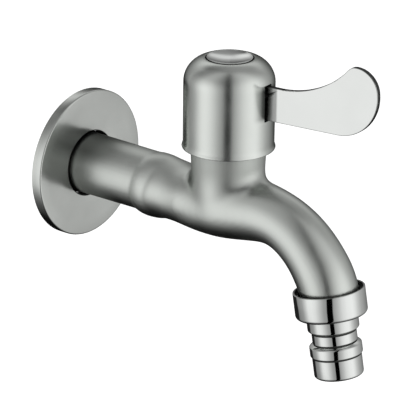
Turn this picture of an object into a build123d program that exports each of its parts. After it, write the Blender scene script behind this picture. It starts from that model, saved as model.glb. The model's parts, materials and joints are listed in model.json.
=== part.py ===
from build123d import *
import os
from math import cos, radians, sin, sqrt

# Bib tap with a hose nozzle, a quarter-turn ceramic headwork and a dome handle with a side lever.
# Millimetres, +Z up. The origin is on the tail's axis in the plane of the wall, and +X points
# out of the wall. The headwork stands on a vertical axis over the belly of the body, and the
# spout bends down in the X-Z plane.

# Pipe thread G 1/2, on the tail, on the headwork and on the spout's end
thread_r = 10.4775
thread_gap = 0.05
thread_chamfer = 0.8
thread_bore_r = thread_r + thread_gap

# Headwork's barrel, which goes down through its thread, and the chamber round it
barrel_clearance = 1.4775
barrel_wall = 1.0
barrel_bore_step = 2.4
barrel_foot_gap = 0.8
barrel_shoulder_rise = 1.0
seat_z = -1.0
chamber_gap = 0.9
chamber_height = 15
barrel_r = thread_r - barrel_clearance
barrel_bore_r = barrel_r - barrel_wall
chamber_r = barrel_r + chamber_gap
chamber_top_z = seat_z + chamber_height
barrel_shoulder_z = chamber_top_z + barrel_shoulder_rise

# Waterways in the casting, and the seat that the headwork stands on
inlet_bore_r = 7.5
inlet_bore_gap = 21.5
under_seat_half_width = 7.0
under_seat_half_height = 3.1
under_seat_ramp = 11.5
under_seat_reach = 5.5
seat_thickness = 2.1
outlet_half_width = 7.0
outlet_half_height = 4.2
outlet_reach = 6.0
outlet_sill = 0.4
spout_bore_r = 7.3
seat_hole_r = barrel_bore_r - barrel_bore_step

# Tail, bead and wall flange
inlet_thread_length = 14
tail_shoulder_length = 1.2
tail_shoulder_gap = 0.1
tail_step = 0.6225
tail_taper = 0.25
tail_r = thread_r + tail_step
tail_end_r = tail_r - tail_taper
bead_x = 35.6
bead_height = 0.75
bead_back_length = 4.8
bead_front_length = 6.4
bead_r = tail_end_r + bead_height
flange_r = 26.8
flange_depth = 4.1
flange_sheet = 1.0
flange_hole_gap = 0.7
flange_edge_r = 0.6
flange_rim_length = 2.8
flange_hole_r = tail_r + flange_hole_gap
tail_shoulder_r = flange_hole_r - tail_shoulder_gap

# Outside of the casting, from the waist behind the bead to the spout's end
headwork_x = 67.5
waist_gap = 23.5
waist_wall = 2.9
waist_drop = 0.5
flank_swell = 0.3
flank_drop = 0.9
belly_wall = 1.6
belly_inset = 0.1
belly_drop = 0.2
bend_start_gap = 16.1
bend_start_wall = 3.1
bend_rise = 1.0
upper_bend_r = 28
upper_bend_angle = 38
lower_bend_r = 37
lower_bend_angle = 26.5
end_bend_r = 10
end_bend_angle = 15.1
spout_slim_wall = 2.35
spout_mid_wall = 2.45
spout_low_wall = 2.7
spout_end_inset = 0.2775
waist_x = headwork_x - waist_gap
waist_r = inlet_bore_r + waist_wall
flank_x = (waist_x + headwork_x) / 2
flank_r = waist_r + flank_swell
belly_half_height = chamber_r + belly_wall
spout_end_r = thread_r - spout_end_inset

# Neck that holds the headwork
neck_thread_length = 12
neck_collar_height = 3
neck_waist_gap = 2
neck_waist_slim = 0.4
neck_rim_width = 1.1
neck_root_z = 0
neck_root_inset = 0.2
neck_fillet_r = 4
ring_recess_step = 1.6225
ring_recess_r = thread_r + ring_recess_step
neck_top_z = chamber_top_z + neck_thread_length
neck_top_r = ring_recess_r + neck_rim_width
neck_waist_z = chamber_top_z - neck_waist_gap
neck_waist_r = neck_top_r - neck_waist_slim
belly_half_width = neck_waist_r - belly_inset
neck_root_r = belly_half_width - neck_root_inset

# Rubber rings
seat_seal_step = 0.1
seat_seal_height = 2.5
housing_ring_section_r = 0.72
housing_ring_play = 0.03
spindle_ring_section_r = 0.75
spindle_ring_gap = 5
ring_groove_play = 0.2

# Headwork housing
headwork_thread_gap = 1.5
undercut_depth = 0.5775
hexagon_flats = 22
hexagon_height = 5
sleeve_wall = 2.45
sleeve_length = 7
window_angle = 80
window_gap = 0.6
window_top_gap = 0.15
headwork_thread_z = chamber_top_z + headwork_thread_gap
undercut_r = thread_r - undercut_depth
sleeve_top_z = neck_top_z + hexagon_height + sleeve_length

# Ceramic discs
disc_fit = 0.1
disc_gap = 0.1
disc_thickness = 3.0
port_inner_r = 1.6
port_angle = 86
disc_ear_width = 3.0
disc_ear_sink = 0.2
drive_slot_depth = 1.8

# Spindle
spindle_r = 5.0
spindle_fit = 0.05
shoulder_gap = 0.8
shoulder_thickness = 1.4
thrust_washer_thickness = 0.8
thrust_washer_gap = 0.3
quarter_turn = 90
stop_lug_angle = 40
stop_play_angle = 2
stop_fit = 0.15
blade_width = 3.4
blade_end_gap = 1.2
blade_fit = 0.1
spline_step = 1.0
spline_depth = 0.4
spline_teeth = 20
spline_tip_share = 0.18
spline_foot_share = 0.32
spline_fit = 0.08
spline_start_gap = 1.6
spline_length = 7.2
clip_thickness = 0.9
clip_groove_depth = 0.7
clip_play = 0.05
clip_edge_gap = 0.6
clip_mouth = 6.0
shoulder_r = barrel_bore_r - shoulder_gap
spindle_bore_r = spindle_r + spindle_fit
sleeve_r = spindle_bore_r + sleeve_wall
spline_tip_r = spindle_r - spline_step
spline_root_r = spline_tip_r - spline_depth
spline_start_z = sleeve_top_z + spline_start_gap
spindle_top_z = spline_start_z + spline_length

# Core of the handle and its screw
handle_fit = 0.06
core_gap = 2.0
core_cavity_gap = 1.7
core_spline_relief = 0.4
core_web_gap = 0.4
core_web_thickness = 1.8
counterbore_gap = 2.0
counterbore_depth = 1.9
screw_r = 2.0
screw_fit = 0.05
screw_length = 10
screw_end_gap = 0.6
screw_head_step = 1.5
screw_head_height = 1.8
screw_socket_flats = 2.5
screw_socket_depth = 1.2
core_bottom_z = neck_top_z + hexagon_height + core_gap
core_cavity_r = sleeve_r + core_cavity_gap
core_cavity_top_z = spline_start_z + core_spline_relief
core_web_z = spindle_top_z + core_web_gap
screw_seat_z = core_web_z + core_web_thickness
core_top_z = screw_seat_z + counterbore_depth
screw_head_r = screw_r + screw_head_step
counterbore_r = screw_head_r + counterbore_gap

# Dome of the handle and the index cap in its top
dome_skirt_gap = 1.1
dome_skirt_overlap = 4.5
dome_sheet = 1.5
dome_lip_flare = 0.4
dome_lip_height = 1.8
dome_lip_edge = 0.3
dome_shoulder_r = 8.7
dome_hole_r = 8.6
cap_height = 2.6
cap_sink = 0.15
cap_dish_depth = 1.3
cap_rim_width = 0.35
cap_rim_slope = 0.7
cap_spigot_length = 0.9
cap_spigot_wall = 0.9
dome_inner_r = neck_top_r + dome_skirt_gap
dome_r = dome_inner_r + dome_sheet
dome_lip_r = dome_r + dome_lip_flare
dome_bottom_z = neck_top_z - dome_skirt_overlap
dome_top_z = core_top_z + cap_height
core_r = dome_inner_r - handle_fit

# Lever: a flat paddle that comes out of the dome's slot. The splines seat it a little past the
# plane of the spout. Its outline is given by reach from the dome's wall and by height over its
# own underside at the root.
lever_turn = 6
lever_thickness = 2.0
lever_edge_r = 0.3
lever_rise = 1.0
lever_tang_length = 3.64
lever_root_reach = 4.7
lever_root_height = 12.2
lever_belly_reach = 27.8
lever_belly_height = 0.5
lever_tip_reach = 42.9
lever_tip_height = 18.0
lever_crest_reach = 34.5
lever_crest_height = 25.4
lever_nape_reach = 29.7
lever_nape_height = 22.3
slot_side_gap = 0.8
slot_end_gap = 0.4
lever_pin_r = 1.0
lever_pin_inset = 2.1
lever_pin_height = 7.5
lever_pin_length = 8.4
lever_bottom_z = core_bottom_z + lever_rise
lever_top_z = lever_bottom_z + lever_root_height
lever_inner_reach = core_r - lever_tang_length
lever_pin_place = (lever_inner_reach + lever_pin_inset, lever_bottom_z + lever_pin_height)

# Hose nozzle, measured along its own axis from the collar's top rim
mouth_depth = 1.2
mouth_gap = 1.5
mouth_to_bend = 1.1
spout_thread_end = 6.0
washer_space = 1.8
collar_wall = 0.8
collar_floor = 1.5
collar_edge_r = 1.0
collar_rim_r = 0.3
nozzle_bore_r = 6.4
spigot_wall = 2.2
step_height = 0.35
step_length = 5.4
step_slope = 0.7
groove_depth = 0.8
groove_length = 5.2
ring_height = 0.5
ring_length = 3.1
spigot_length = 7.9
nozzle_end_r = 1.1
nozzle_washer_overlap = 0.6
nozzle_washer_fit = 0.1
nozzle_washer_play = 0.03
mouth_r = spout_end_r + mouth_gap
collar_r = mouth_r + collar_wall
socket_depth = spout_thread_end + washer_space
collar_height = socket_depth + collar_floor
spigot_r = nozzle_bore_r + spigot_wall
step_r = spigot_r + step_height
groove_r = spigot_r - groove_depth
ring_r = spigot_r + ring_height
step_end = collar_height + step_length
ring_start = step_end + groove_length
ring_end = ring_start + ring_length
nozzle_length = ring_end + spigot_length

os.makedirs("parts", exist_ok=True)
headwork_axis = Axis((headwork_x, 0, 0), (0, 0, 1))
side_plane = Plane.XZ


def upright_plane(turn=0):
    """The plane through the headwork's axis: local X is reach from the axis, local Y is height."""
    angle = radians(turn)
    return Plane(
        origin=(headwork_x, 0, 0),
        x_dir=(cos(angle), sin(angle), 0),
        z_dir=(sin(angle), -cos(angle), 0),
    )


def level_plane(z, turn=0):
    """The plane across the headwork's axis at height z."""
    angle = radians(turn)
    return Plane(origin=(headwork_x, 0, z), x_dir=(cos(angle), sin(angle), 0), z_dir=(0, 0, 1))


def across(point, direction):
    """The plane square to a centreline at one of its points."""
    return Plane(origin=point, x_dir=(0, 1, 0), z_dir=direction)


def across_tail(x, z):
    return across((x, 0, z), (1, 0, 0))


def draw_ring_sector(inner_r, outer_r, middle_angle, angle):
    """Draws part of a flat ring in the sketch that is open."""
    start = middle_angle - angle / 2
    with BuildLine() as outline:
        outer = CenterArc((0, 0), outer_r, start, angle)
        inner = CenterArc((0, 0), inner_r, start, angle)
        Line(outer @ 0, inner @ 0)
        Line(outer @ 1, inner @ 1)
    make_face(outline.edges())


def draw_spline_teeth(tip_r, root_r):
    """Draws the outline of the handle splines in the sketch that is open."""
    pitch = 360 / spline_teeth
    points = []
    for tooth in range(spline_teeth):
        for radius, share in (
            (root_r, -spline_foot_share),
            (tip_r, -spline_tip_share),
            (tip_r, spline_tip_share),
            (root_r, spline_foot_share),
        ):
            angle = radians((tooth + share) * pitch)
            points.append((radius * cos(angle), radius * sin(angle)))
    with BuildLine() as outline:
        Polyline(*points, close=True)
    make_face(outline.edges())


# Centreline of the spout: three arcs, which end along the nozzle's axis
bend_start_x = headwork_x + bend_start_gap
with BuildLine(side_plane) as spout_line:
    upper_bend = JernArc((bend_start_x, bend_rise), (1, 0), upper_bend_r, -upper_bend_angle)
    lower_bend = JernArc(upper_bend @ 1, upper_bend % 1, lower_bend_r, -lower_bend_angle)
    end_bend = JernArc(lower_bend @ 1, lower_bend % 1, end_bend_r, -end_bend_angle)

nozzle_dir = end_bend % 1
nozzle_rim = end_bend @ 1 - nozzle_dir * mouth_to_bend
nozzle_axis = Axis(nozzle_rim, nozzle_dir)
nozzle_plane = Plane(
    origin=nozzle_rim,
    x_dir=(-nozzle_dir.Z, 0, nozzle_dir.X),
    z_dir=(0, 1, 0),
)
spout_end_plane = across(end_bend @ 1, nozzle_dir)

# Body: one casting. Its outside is built first, and its waterways are cut from it.
under_seat_z = seat_z - seat_thickness - under_seat_half_height
outlet_z = seat_z + outlet_sill + outlet_half_height
inlet_bore_end_x = headwork_x - inlet_bore_gap
ring_recess_depth = 2 * (housing_ring_section_r + housing_ring_play)
bead_axis = Axis((0, 0, -waist_drop), (1, 0, 0))
bead_back = (bead_x - bead_back_length, waist_r - waist_drop)
bead_top = (bead_x, bead_r - waist_drop)
bead_front = (bead_x + bead_front_length, waist_r - waist_drop)

with BuildPart() as body:
    with BuildSketch(side_plane):
        with BuildLine():
            Polyline(
                (tail_shoulder_length, tail_r),
                (tail_shoulder_length, tail_shoulder_r),
                (0, tail_shoulder_r),
                (0, thread_r),
                (thread_chamfer - inlet_thread_length, thread_r),
                (-inlet_thread_length, thread_r - thread_chamfer),
                (-inlet_thread_length, 0),
                (bead_x, 0),
                (bead_x, tail_end_r),
                close=True,
            )
        make_face()
    revolve(axis=Axis.X)
    with BuildSketch(side_plane):
        with BuildLine():
            TangentArc(bead_top, bead_back, tangent=(-1, 0))
            TangentArc(bead_top, bead_front, tangent=(1, 0))
            Polyline(
                bead_back,
                (bead_back[0], -waist_drop),
                (bead_front[0], -waist_drop),
                bead_front,
            )
        make_face()
    revolve(axis=bead_axis)

    for x, drop, radius in (
        (bead_x, waist_drop, waist_r),
        (waist_x, waist_drop, waist_r),
        (flank_x, flank_drop, flank_r),
    ):
        with BuildSketch(across_tail(x, -drop)):
            Circle(radius)
    with BuildSketch(across_tail(headwork_x, -belly_drop)):
        Ellipse(belly_half_width, belly_half_height)
    with BuildSketch(across_tail(bend_start_x, bend_rise)):
        Circle(spout_bore_r + bend_start_wall)
    for arc, share, radius in (
        (upper_bend, 0.5, spout_bore_r + spout_slim_wall),
        (upper_bend, 1.0, spout_bore_r + spout_mid_wall),
        (lower_bend, 0.5, spout_bore_r + spout_low_wall),
        (lower_bend, 1.0, spout_end_r),
        (end_bend, 1.0, spout_end_r),
    ):
        with BuildSketch(across(arc @ share, arc % share)):
            Circle(radius)
    loft()

    with BuildSketch(spout_end_plane):
        Circle(thread_r)
    extrude(amount=spout_thread_end - mouth_to_bend)
    chamfer(body.faces().sort_by(Axis.Z)[0].edges(), thread_chamfer)

    with BuildSketch(upright_plane()):
        with BuildLine():
            Spline(
                (neck_root_r, neck_root_z),
                (neck_waist_r, neck_waist_z),
                (neck_top_r, neck_top_z - neck_collar_height),
            )
            Polyline(
                (neck_top_r, neck_top_z - neck_collar_height),
                (neck_top_r, neck_top_z),
                (0, neck_top_z),
                (0, neck_root_z),
                (neck_root_r, neck_root_z),
            )
        make_face()
    revolve(axis=headwork_axis)
    seam = body.edges().filter_by(
        lambda edge: edge.bounding_box().size.Y > neck_root_r
        and neck_root_z < edge.bounding_box().min.Z < neck_waist_z
    )
    fillet(seam, neck_fillet_r)

    # Inlet bore, its ramp down to the flat passage under the seat, and the hole in the seat
    with BuildSketch(across_tail(-inlet_thread_length, 0)):
        Circle(inlet_bore_r)
    extrude(amount=inlet_thread_length + inlet_bore_end_x, mode=Mode.SUBTRACT)
    with BuildSketch(across_tail(inlet_bore_end_x, 0)):
        Circle(inlet_bore_r)
    for x in (inlet_bore_end_x + under_seat_ramp, headwork_x + under_seat_reach):
        with BuildSketch(across_tail(x, under_seat_z)):
            Ellipse(under_seat_half_width, under_seat_half_height)
    loft(ruled=True, mode=Mode.SUBTRACT)
    with BuildSketch(level_plane(under_seat_z)):
        Circle(seat_hole_r)
    extrude(amount=seat_z - under_seat_z, mode=Mode.SUBTRACT)

    # Chamber round the headwork's barrel, the thread above it and the recess for the seal
    with BuildSketch(level_plane(seat_z)):
        Circle(chamber_r)
    extrude(amount=chamber_top_z - seat_z, mode=Mode.SUBTRACT)
    with BuildSketch(level_plane(chamber_top_z)):
        Circle(thread_bore_r)
    extrude(amount=neck_top_z - chamber_top_z, mode=Mode.SUBTRACT)
    with BuildSketch(level_plane(neck_top_z)):
        Circle(ring_recess_r)
    extrude(amount=-ring_recess_depth, mode=Mode.SUBTRACT)

    # Outlet from the chamber through the spout
    with BuildSketch(across_tail(headwork_x + outlet_reach, outlet_z)):
        Ellipse(outlet_half_width, outlet_half_height)
    for arc, share in (
        (upper_bend, 0.0),
        (upper_bend, 0.5),
        (upper_bend, 1.0),
        (lower_bend, 0.5),
        (lower_bend, 1.0),
        (end_bend, 1.0),
    ):
        with BuildSketch(across(arc @ share, arc % share)):
            Circle(spout_bore_r)
    loft(mode=Mode.SUBTRACT)
    with BuildSketch(spout_end_plane):
        Circle(spout_bore_r)
    extrude(amount=spout_thread_end - mouth_to_bend, mode=Mode.SUBTRACT)

body.part.label = "body"
export_step(body.part, "parts/body.step")

# Wall flange: a pressed cup that hides the hole in the wall and slides on the tail
with BuildPart() as wall_flange:
    with BuildSketch(side_plane) as flange_profile:
        with BuildLine():
            Polyline(
                (0, flange_r),
                (flange_depth, flange_r),
                (flange_depth, flange_hole_r),
                (flange_depth - flange_rim_length, flange_hole_r),
                (flange_depth - flange_rim_length, flange_hole_r + flange_sheet),
                (flange_depth - flange_sheet, flange_hole_r + flange_sheet),
                (flange_depth - flange_sheet, flange_r - flange_sheet),
                (0, flange_r - flange_sheet),
                close=True,
            )
        make_face()
        front_corners = flange_profile.vertices().group_by(Axis.X)[-1].sort_by(Axis.Y)
        fillet(front_corners[-1], flange_edge_r)
        fillet(front_corners[0], flange_sheet / 2)
    revolve(axis=Axis.X)

wall_flange.part.label = "wall_flange"
export_step(wall_flange.part, "parts/wall_flange.step")

# Headwork housing: hexagon on the neck's top, thread below it, then the barrel with its windows
foot_z = seat_z + barrel_foot_gap
fixed_disc_z = seat_z + seat_seal_height
moving_disc_z = fixed_disc_z + disc_thickness + disc_gap
moving_disc_top_z = moving_disc_z + disc_thickness
window_z = moving_disc_top_z + window_gap
washer_bottom_z = barrel_shoulder_z - thrust_washer_thickness
shoulder_top_z = washer_bottom_z - spindle_fit
shoulder_bottom_z = shoulder_top_z - shoulder_thickness
window_height = shoulder_bottom_z - window_top_gap - window_z
stop_ring_angle = 360 - quarter_turn - stop_lug_angle - 2 * stop_play_angle
stop_gap_middle = quarter_turn / 2

with BuildPart() as headwork_housing:
    with BuildSketch(upright_plane()):
        with BuildLine():
            Polyline(
                (barrel_bore_r, foot_z),
                (barrel_r, foot_z),
                (barrel_r, headwork_thread_z - thread_chamfer),
                (thread_r - thread_chamfer, headwork_thread_z - thread_chamfer),
                (thread_r, headwork_thread_z),
                (thread_r, neck_top_z - ring_recess_depth),
                (undercut_r, neck_top_z - ring_recess_depth),
                (undercut_r, neck_top_z),
                (sleeve_r, neck_top_z + hexagon_height / 2),
                (sleeve_r, sleeve_top_z),
                (spindle_bore_r, sleeve_top_z),
                (spindle_bore_r, barrel_shoulder_z),
                (barrel_bore_r, barrel_shoulder_z),
                close=True,
            )
        make_face()
    revolve(axis=headwork_axis)
    with BuildSketch(level_plane(neck_top_z)):
        RegularPolygon(hexagon_flats / 2, side_count=6, major_radius=False)
        Circle(spindle_bore_r, mode=Mode.SUBTRACT)
    extrude(amount=hexagon_height)
    with BuildSketch(level_plane(shoulder_bottom_z)):
        draw_ring_sector(
            shoulder_r + stop_fit,
            barrel_bore_r + barrel_wall / 2,
            stop_gap_middle + 180,
            stop_ring_angle,
        )
    extrude(amount=shoulder_thickness)
    for side in (0, 180):
        with BuildSketch(level_plane(window_z)):
            draw_ring_sector(shoulder_r, chamber_r, side, window_angle)
        extrude(amount=window_height, mode=Mode.SUBTRACT)
        with BuildSketch(level_plane(foot_z, side + 90)):
            with Locations((barrel_r, 0)):
                Rectangle(barrel_r, disc_ear_width + 2 * disc_fit)
        extrude(amount=fixed_disc_z + disc_thickness + disc_gap - foot_z, mode=Mode.SUBTRACT)

headwork_housing.part.label = "headwork_housing"
export_step(headwork_housing.part, "parts/headwork_housing.step")

# Rubber rings: the seat seal in the barrel's foot and the seal under the hexagon
seal_r = barrel_bore_r - disc_fit
with BuildPart() as seat_seal:
    with BuildSketch(level_plane(seat_z)):
        Circle(seal_r)
        Circle(seat_hole_r + seat_seal_step, mode=Mode.SUBTRACT)
    extrude(amount=seat_seal_height)

seat_seal.part.label = "seat_seal"
export_step(seat_seal.part, "parts/seat_seal.step")

with BuildPart() as housing_o_ring:
    with BuildSketch(upright_plane()):
        with Locations(
            (
                undercut_r + housing_ring_section_r + housing_ring_play,
                neck_top_z - ring_recess_depth / 2,
            )
        ):
            Circle(housing_ring_section_r)
    revolve(axis=headwork_axis)

housing_o_ring.part.label = "housing_o_ring"
export_step(housing_o_ring.part, "parts/housing_o_ring.step")

# Ceramic discs: two pairs of ports a quarter turn apart, which line up when the tap is open
with BuildPart() as fixed_disc:
    with BuildSketch(level_plane(fixed_disc_z)):
        Circle(seal_r)
        Rectangle(disc_ear_width, 2 * (barrel_r - disc_ear_sink))
    extrude(amount=disc_thickness)
    for side in (90, 270):
        with BuildSketch(level_plane(fixed_disc_z)):
            draw_ring_sector(port_inner_r, seat_hole_r, side, port_angle)
        extrude(amount=disc_thickness, mode=Mode.SUBTRACT)

fixed_disc.part.label = "fixed_disc"
export_step(fixed_disc.part, "parts/fixed_disc.step")

with BuildPart() as moving_disc:
    with BuildSketch(level_plane(moving_disc_z)):
        Circle(seal_r)
    extrude(amount=disc_thickness)
    for side in (0, 180):
        with BuildSketch(level_plane(moving_disc_z)):
            draw_ring_sector(port_inner_r, seat_hole_r, side, port_angle)
        extrude(amount=disc_thickness, mode=Mode.SUBTRACT)
    with BuildSketch(level_plane(moving_disc_top_z)):
        Rectangle(blade_width + 2 * blade_fit, 2 * barrel_r)
    extrude(amount=-drive_slot_depth, mode=Mode.SUBTRACT)

moving_disc.part.label = "moving_disc"
export_step(moving_disc.part, "parts/moving_disc.step")

# Thrust washer, between the spindle's shoulder and the housing
with BuildPart() as thrust_washer:
    with BuildSketch(level_plane(washer_bottom_z)):
        Circle(seal_r)
        Circle(spindle_r + thrust_washer_gap, mode=Mode.SUBTRACT)
    extrude(amount=thrust_washer_thickness)

thrust_washer.part.label = "thrust_washer"
export_step(thrust_washer.part, "parts/thrust_washer.step")

# Spindle: drive blade, shoulder with its stop lug, stem with ring grooves, clip groove, splines
ring_groove_r = spindle_r - 2 * spindle_ring_section_r
ring_groove_width = 2 * (spindle_ring_section_r + ring_groove_play)
lower_ring_z = barrel_shoulder_z + spindle_ring_gap
upper_ring_z = lower_ring_z + spindle_ring_gap
clip_groove_r = spindle_r - clip_groove_depth
clip_r = sleeve_r - clip_edge_gap
clip_groove_z = sleeve_top_z + spindle_fit
clip_groove_top_z = clip_groove_z + clip_thickness + 2 * clip_play
screw_hole_depth = screw_length + screw_end_gap - core_web_thickness - core_web_gap
with BuildPart() as spindle:
    with BuildSketch(upright_plane()):
        with BuildLine():
            Polyline(
                (0, shoulder_bottom_z),
                (shoulder_r, shoulder_bottom_z),
                (shoulder_r, shoulder_top_z),
                (spindle_r, shoulder_top_z),
                (spindle_r, clip_groove_z),
                (clip_groove_r, clip_groove_z),
                (clip_groove_r, clip_groove_top_z),
                (spindle_r, clip_groove_top_z),
                (spindle_r, spline_start_z),
                (0, spline_start_z),
                close=True,
            )
        make_face()
        for ring_z in (lower_ring_z, upper_ring_z):
            with Locations((spindle_r, ring_z)):
                Rectangle(2 * (spindle_r - ring_groove_r), ring_groove_width, mode=Mode.SUBTRACT)
    revolve(axis=headwork_axis)
    with BuildSketch(level_plane(shoulder_bottom_z)):
        draw_ring_sector(spindle_r, barrel_bore_r - disc_fit, 0, stop_lug_angle)
    extrude(amount=shoulder_thickness)
    with BuildSketch(level_plane(shoulder_bottom_z)):
        Rectangle(blade_width, 2 * (barrel_bore_r - blade_end_gap))
    extrude(amount=moving_disc_top_z - drive_slot_depth + blade_fit - shoulder_bottom_z)
    with BuildSketch(level_plane(spline_start_z)):
        draw_spline_teeth(spline_tip_r, spline_root_r)
    extrude(amount=spindle_top_z - spline_start_z)
    with BuildSketch(level_plane(spindle_top_z)):
        Circle(screw_r + screw_fit)
    extrude(amount=-screw_hole_depth, mode=Mode.SUBTRACT)

spindle.part.label = "spindle"
export_step(spindle.part, "parts/spindle.step")

spindle_ring_r = ring_groove_r + spindle_ring_section_r + spindle_fit / 2
for ring_name, ring_z in (
    ("spindle_o_ring_lower", lower_ring_z),
    ("spindle_o_ring_upper", upper_ring_z),
):
    with BuildPart() as spindle_o_ring:
        with BuildSketch(upright_plane()):
            with Locations((spindle_ring_r, ring_z)):
                Circle(spindle_ring_section_r)
        revolve(axis=headwork_axis)

    spindle_o_ring.part.label = ring_name
    export_step(spindle_o_ring.part, f"parts/{ring_name}.step")

with BuildPart() as retaining_clip:
    with BuildSketch(level_plane(clip_groove_z + clip_play)):
        Circle(clip_r)
        Circle(clip_groove_r + clip_play, mode=Mode.SUBTRACT)
        with Locations((-clip_r, 0)):
            Rectangle(2 * clip_r, clip_mouth, mode=Mode.SUBTRACT)
    extrude(amount=clip_thickness)

retaining_clip.part.label = "retaining_clip"
export_step(retaining_clip.part, "parts/retaining_clip.step")

# Lever: its outline is drawn in the upright plane that the splines turn it to
lever_plane = upright_plane(lever_turn)


def lever_point(reach, height):
    return (dome_r + reach, lever_bottom_z + height)


lever_root = lever_point(lever_root_reach, lever_root_height)
lever_belly = lever_point(lever_belly_reach, lever_belly_height)
lever_tip = lever_point(lever_tip_reach, lever_tip_height)
lever_crest = lever_point(lever_crest_reach, lever_crest_height)
lever_nape = lever_point(lever_nape_reach, lever_nape_height)
with BuildPart() as lever:
    with BuildSketch(lever_plane):
        with BuildLine():
            underside = Line((lever_inner_reach, lever_bottom_z), lever_belly)
            belly = TangentArc(underside @ 1, lever_tip, tangent=underside % 1)
            back = TangentArc(lever_root, lever_nape, tangent=(1, 0))
            tip = TangentArc(belly @ 1, lever_crest, tangent=belly % 1)
            Spline(tip @ 1, back @ 1, tangents=[tip % 1, -(back % 1)])
            Polyline(
                lever_root,
                (lever_inner_reach, lever_top_z),
                (lever_inner_reach, lever_bottom_z),
            )
        make_face()
    extrude(amount=lever_thickness / 2, both=True)
    long_edges = lever.faces().sort_by(SortBy.AREA)[-2:].edges()
    fillet(long_edges.filter_by(lambda edge: edge.length > lever_thickness * 2), lever_edge_r)
    with BuildSketch(lever_plane):
        with Locations(lever_pin_place):
            Circle(lever_pin_r + handle_fit)
    extrude(amount=lever_thickness, both=True, mode=Mode.SUBTRACT)

lever.part.label = "lever"
export_step(lever.part, "parts/lever.step")

with BuildPart() as lever_pin:
    with BuildSketch(lever_plane):
        with Locations(lever_pin_place):
            Circle(lever_pin_r)
    extrude(amount=lever_pin_length / 2, both=True)

lever_pin.part.label = "lever_pin"
export_step(lever_pin.part, "parts/lever_pin.step")

# Dome: a drawn shell with a round shoulder, a lip at its foot, a hole in its top and the slot
shoulder_centre_r = dome_r - dome_shoulder_r
inner_shoulder_r = dome_shoulder_r - dome_sheet


def shoulder_height(radius, reach):
    """Height above the shoulder's centre of a shoulder of this radius, at this reach."""
    return sqrt(radius**2 - (reach - shoulder_centre_r) ** 2)


shoulder_z = dome_top_z - shoulder_height(dome_shoulder_r, dome_hole_r)

with BuildPart() as handle_dome:
    with BuildSketch(upright_plane()):
        with BuildLine():
            RadiusArc(
                (dome_r, shoulder_z),
                (dome_hole_r, dome_top_z),
                -dome_shoulder_r,
            )
            RadiusArc(
                (dome_inner_r, shoulder_z),
                (dome_hole_r, shoulder_z + shoulder_height(inner_shoulder_r, dome_hole_r)),
                -inner_shoulder_r,
            )
            Line(
                (dome_hole_r, dome_top_z),
                (dome_hole_r, shoulder_z + shoulder_height(inner_shoulder_r, dome_hole_r)),
            )
            Polyline(
                (dome_inner_r, shoulder_z),
                (dome_inner_r, dome_bottom_z),
                (dome_lip_r - dome_lip_edge, dome_bottom_z),
                (dome_lip_r, dome_bottom_z + dome_lip_edge),
            )
            Spline(
                (dome_lip_r, dome_bottom_z + dome_lip_edge),
                (dome_r, dome_bottom_z + dome_lip_height),
                tangents=[(0, 1), (0, 1)],
            )
            Line((dome_r, dome_bottom_z + dome_lip_height), (dome_r, shoulder_z))
        make_face()
    revolve(axis=headwork_axis)
    slot_height = lever_root_height + 2 * slot_end_gap
    slot_z = (lever_top_z + lever_bottom_z) / 2
    with BuildSketch(lever_plane):
        with Locations((dome_r, slot_z)):
            Rectangle(2 * (dome_r - core_cavity_r), slot_height)
    extrude(amount=lever_thickness / 2 + slot_side_gap, both=True, mode=Mode.SUBTRACT)

handle_dome.part.label = "handle_dome"
export_step(handle_dome.part, "parts/handle_dome.step")

# Core: fills the dome's top, sits on the splines and holds the lever's inner end in its pocket
core_shoulder_r = inner_shoulder_r - handle_fit
core_top_r = shoulder_centre_r + sqrt(core_shoulder_r**2 - (core_top_z - shoulder_z) ** 2)
with BuildPart() as handle_core:
    with BuildSketch(upright_plane()):
        with BuildLine():
            RadiusArc((core_r, shoulder_z), (core_top_r, core_top_z), -core_shoulder_r)
            Polyline(
                (core_top_r, core_top_z),
                (0, core_top_z),
                (0, core_bottom_z),
                (core_r, core_bottom_z),
                (core_r, shoulder_z),
            )
        make_face()
    revolve(axis=headwork_axis)
    with BuildSketch(level_plane(core_bottom_z)):
        Circle(core_cavity_r)
    extrude(amount=core_cavity_top_z - core_bottom_z, mode=Mode.SUBTRACT)
    with BuildSketch(level_plane(core_cavity_top_z)):
        draw_spline_teeth(spline_tip_r + spline_fit, spline_root_r + spline_fit)
    extrude(amount=core_web_z - core_cavity_top_z, mode=Mode.SUBTRACT)
    with BuildSketch(level_plane(core_web_z)):
        Circle(screw_r + screw_fit)
    extrude(amount=core_web_thickness, mode=Mode.SUBTRACT)
    with BuildSketch(level_plane(screw_seat_z)):
        Circle(counterbore_r)
    extrude(amount=counterbore_depth, mode=Mode.SUBTRACT)
    pocket_depth = core_r - lever_inner_reach + handle_fit
    with BuildSketch(lever_plane):
        with Locations((lever_inner_reach - handle_fit + pocket_depth, slot_z)):
            Rectangle(2 * pocket_depth, lever_root_height + 2 * handle_fit)
    extrude(amount=lever_thickness / 2 + handle_fit, both=True, mode=Mode.SUBTRACT)
    with BuildSketch(lever_plane):
        with Locations(lever_pin_place):
            Circle(lever_pin_r + handle_fit)
    extrude(amount=core_r, both=True, mode=Mode.SUBTRACT)

handle_core.part.label = "handle_core"
export_step(handle_core.part, "parts/handle_core.step")

# Handle screw, with a hexagon socket in its head
with BuildPart() as handle_screw:
    with BuildSketch(level_plane(screw_seat_z)):
        Circle(screw_head_r)
    extrude(amount=screw_head_height)
    with BuildSketch(level_plane(screw_seat_z)):
        Circle(screw_r)
    extrude(amount=-screw_length)
    with BuildSketch(level_plane(screw_seat_z + screw_head_height)):
        RegularPolygon(screw_socket_flats / 2, side_count=6, major_radius=False)
    extrude(amount=-screw_socket_depth, mode=Mode.SUBTRACT)

handle_screw.part.label = "handle_screw"
export_step(handle_screw.part, "parts/handle_screw.step")

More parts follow.
